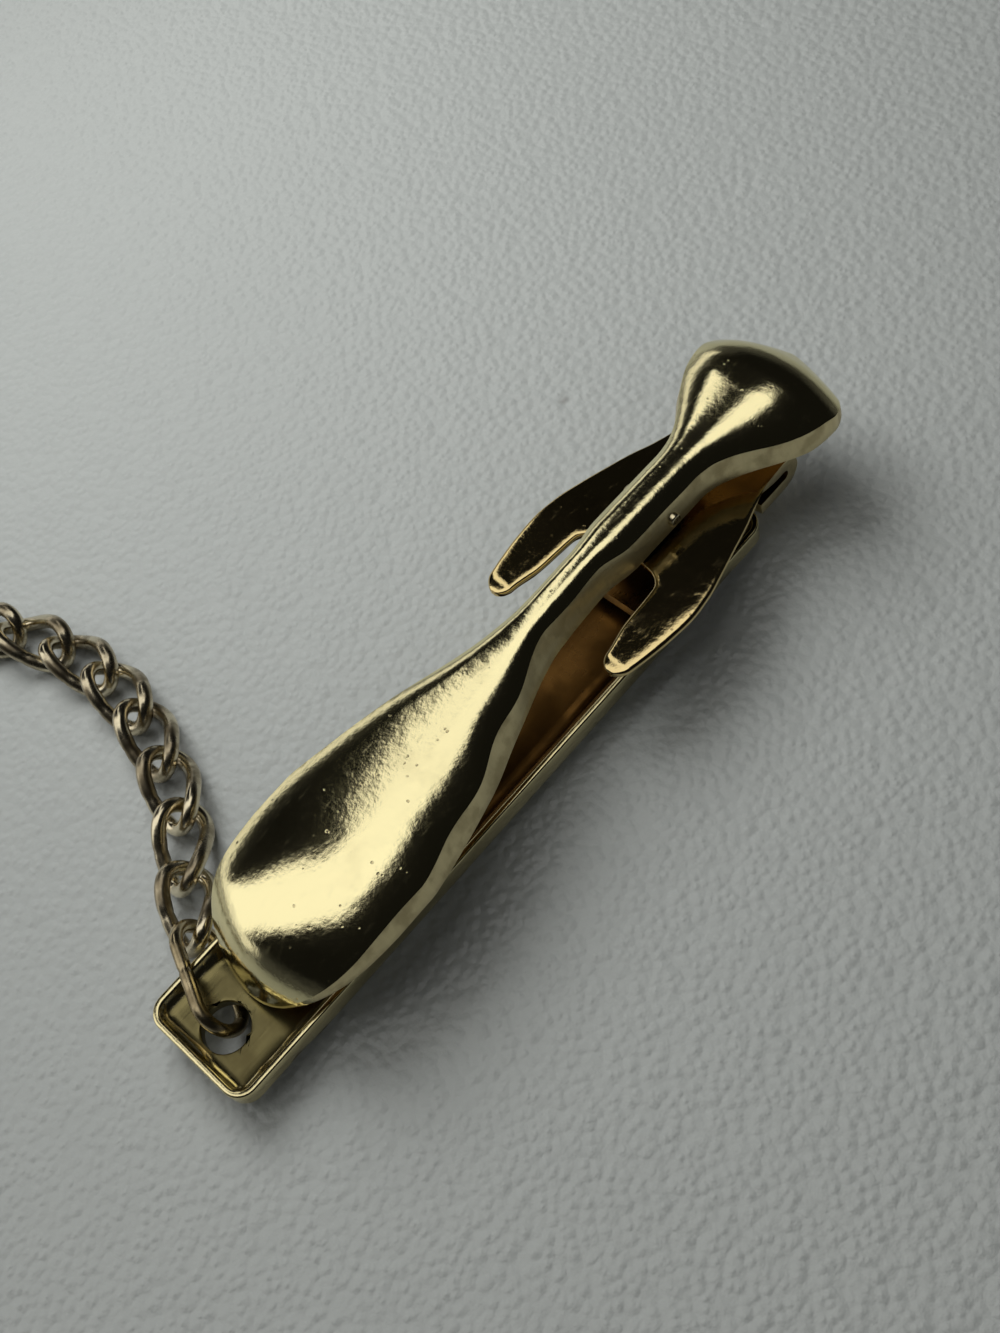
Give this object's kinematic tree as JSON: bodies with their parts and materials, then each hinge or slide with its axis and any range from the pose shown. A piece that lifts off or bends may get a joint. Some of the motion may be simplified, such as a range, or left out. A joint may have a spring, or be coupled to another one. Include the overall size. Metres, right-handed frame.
{
  "type": "tie clip with chain",
  "caption": "Gold-plated alligator tie clip: a dished front bar, a folded spring bracket with a fork, a spoon-shaped sprung lever and a curb safety chain ending in a toggle bar.",
  "frame": {"origin": "centre of the bar's flat front face, which lies on the table", "axes": "+X along the bar from the ring's hole to the lever's head, +Y towards the chain, +Z from the front face to the lever"},
  "size_m": [0.0817, 0.0437, 0.0075],
  "materials": {
    "bar_gold": "gold plate, brushed inside the dish",
    "bracket_gold": "gold plate, polished, darker in the recesses",
    "pin_gold": "gold plate",
    "lever_gold": "gold plate, polished, fine wear marks",
    "spring_steel": "spring wire",
    "ring_brass": "aged brass wire",
    "chain_brass": "aged plate over brass wire"
  },
  "bodies": {
    "clip": {"front_bar": "bar_gold", "fork_bracket": "bracket_gold", "pivot_pin": "pin_gold", "lever_spring": "spring_steel"},
    "lever": {"lever": "lever_gold"},
    "connector_ring": {"connector_ring": "ring_brass"},
    "end_ring": {"end_ring": "ring_brass"},
    "toggle_bar": {"toggle_bar": "chain_brass"},
    "link_01": {"link_01": "chain_brass"},
    "link_02": {"link_02": "chain_brass"},
    "link_03": {"link_03": "chain_brass"},
    "link_04": {"link_04": "chain_brass"},
    "link_05": {"link_05": "chain_brass"},
    "link_06": {"link_06": "chain_brass"},
    "link_07": {"link_07": "chain_brass"},
    "link_08": {"link_08": "chain_brass"},
    "link_09": {"link_09": "chain_brass"},
    "link_10": {"link_10": "chain_brass"},
    "link_11": {"link_11": "chain_brass"},
    "link_12": {"link_12": "chain_brass"},
    "link_13": {"link_13": "chain_brass"},
    "link_14": {"link_14": "chain_brass"},
    "link_15": {"link_15": "chain_brass"},
    "link_16": {"link_16": "chain_brass"},
    "link_17": {"link_17": "chain_brass"},
    "link_18": {"link_18": "chain_brass"},
    "link_19": {"link_19": "chain_brass"},
    "link_20": {"link_20": "chain_brass"}
  },
  "joints": [
    {"name": "lever_hinge", "type": "hinge", "parent": "clip", "child": "lever", "pos_m": [0.01495, 0, 0.00595], "axis": [0, 1, 0], "range_deg": [0, 10], "stiffness_Nm_per_rad": 0.05, "springref_deg": -34.38, "deforming": ["lever_spring"]},
    {"name": "ring_swing", "type": "hinge", "parent": "clip", "child": "connector_ring", "pos_m": [-0.0172, 0, 0.00161], "axis": [0, 0, 1], "range_deg": [-5, 5]},
    {"name": "link_01_lift", "type": "hinge", "parent": "connector_ring", "child": "link_01", "pos_m": [-0.01513, 0.00464, 0.00161], "axis": [-0.866, 0.5, 0], "range_deg": [-5, 5]},
    {"name": "link_02_turn", "type": "hinge", "parent": "link_01", "child": "link_02", "pos_m": [-0.01341, 0.00763, 0.0011], "axis": [0, 0, 1], "range_deg": [-8, 8]},
    {"name": "link_03_lift", "type": "hinge", "parent": "link_02", "child": "link_03", "pos_m": [-0.01119, 0.01028, 0.0011], "axis": [-0.9135, 0.4067, 0], "range_deg": [-8, 8]},
    {"name": "link_04_turn", "type": "hinge", "parent": "link_03", "child": "link_04", "pos_m": [-0.00979, 0.01343, 0.0011], "axis": [0, 0, 1], "range_deg": [-8, 8]},
    {"name": "link_05_lift", "type": "hinge", "parent": "link_04", "child": "link_05", "pos_m": [-0.00872, 0.01671, 0.0011], "axis": [-0.9945, 0.1045, 0], "range_deg": [-8, 8]},
    {"name": "link_06_turn", "type": "hinge", "parent": "link_05", "child": "link_06", "pos_m": [-0.00836, 0.02014, 0.0011], "axis": [0, 0, 1], "range_deg": [-8, 8]},
    {"name": "link_07_lift", "type": "hinge", "parent": "link_06", "child": "link_07", "pos_m": [-0.00878, 0.02356, 0.0011], "axis": [-0.9455, -0.3256, 0], "range_deg": [-8, 8]},
    {"name": "link_08_turn", "type": "hinge", "parent": "link_07", "child": "link_08", "pos_m": [-0.0099, 0.02683, 0.0011], "axis": [0, 0, 1], "range_deg": [-8, 8]},
    {"name": "link_09_lift", "type": "hinge", "parent": "link_08", "child": "link_09", "pos_m": [-0.01168, 0.02978, 0.0011], "axis": [-0.7431, -0.6691, 0], "range_deg": [-8, 8]},
    {"name": "link_10_turn", "type": "hinge", "parent": "link_09", "child": "link_10", "pos_m": [-0.01399, 0.03235, 0.0011], "axis": [0, 0, 1], "range_deg": [-8, 8]},
    {"name": "link_11_lift", "type": "hinge", "parent": "link_10", "child": "link_11", "pos_m": [-0.01674, 0.03442, 0.0011], "axis": [-0.4384, -0.8988, 0], "range_deg": [-8, 8]},
    {"name": "link_12_turn", "type": "hinge", "parent": "link_11", "child": "link_12", "pos_m": [-0.01984, 0.03594, 0.0011], "axis": [0, 0, 1], "range_deg": [-8, 8]},
    {"name": "link_13_lift", "type": "hinge", "parent": "link_12", "child": "link_13", "pos_m": [-0.02318, 0.03683, 0.0011], "axis": [-0.0698, -0.9976, 0], "range_deg": [-8, 8]},
    {"name": "link_14_turn", "type": "hinge", "parent": "link_13", "child": "link_14", "pos_m": [-0.02662, 0.03707, 0.0011], "axis": [0, 0, 1], "range_deg": [-8, 8]},
    {"name": "link_15_lift", "type": "hinge", "parent": "link_14", "child": "link_15", "pos_m": [-0.03005, 0.03671, 0.0011], "axis": [0.2588, -0.9659, 0], "range_deg": [-8, 8]},
    {"name": "link_16_turn", "type": "hinge", "parent": "link_15", "child": "link_16", "pos_m": [-0.03338, 0.03582, 0.0011], "axis": [0, 0, 1], "range_deg": [-8, 8]},
    {"name": "link_17_lift", "type": "hinge", "parent": "link_16", "child": "link_17", "pos_m": [-0.03656, 0.03447, 0.0011], "axis": [0.5, -0.866, 0], "range_deg": [-8, 8]},
    {"name": "link_18_turn", "type": "hinge", "parent": "link_17", "child": "link_18", "pos_m": [-0.03955, 0.03274, 0.0011], "axis": [0, 0, 1], "range_deg": [-8, 8]},
    {"name": "link_19_lift", "type": "hinge", "parent": "link_18", "child": "link_19", "pos_m": [-0.04234, 0.03071, 0.0011], "axis": [0.6561, -0.7547, 0], "range_deg": [-8, 8]},
    {"name": "link_20_turn", "type": "hinge", "parent": "link_19", "child": "link_20", "pos_m": [-0.04494, 0.02845, 0.0011], "axis": [0, 0, 1], "range_deg": [-8, 8]},
    {"name": "end_ring_lift", "type": "hinge", "parent": "link_20", "child": "end_ring", "pos_m": [-0.04779, 0.02561, 0.00183], "axis": [0.7071, -0.7071, 0], "range_deg": [-5, 5]},
    {"name": "toggle_turn", "type": "hinge", "parent": "end_ring", "child": "toggle_bar", "pos_m": [-0.04931, 0.02408, 0.00183], "axis": [0, 0, 1], "range_deg": [-8, 8]}
  ]
}
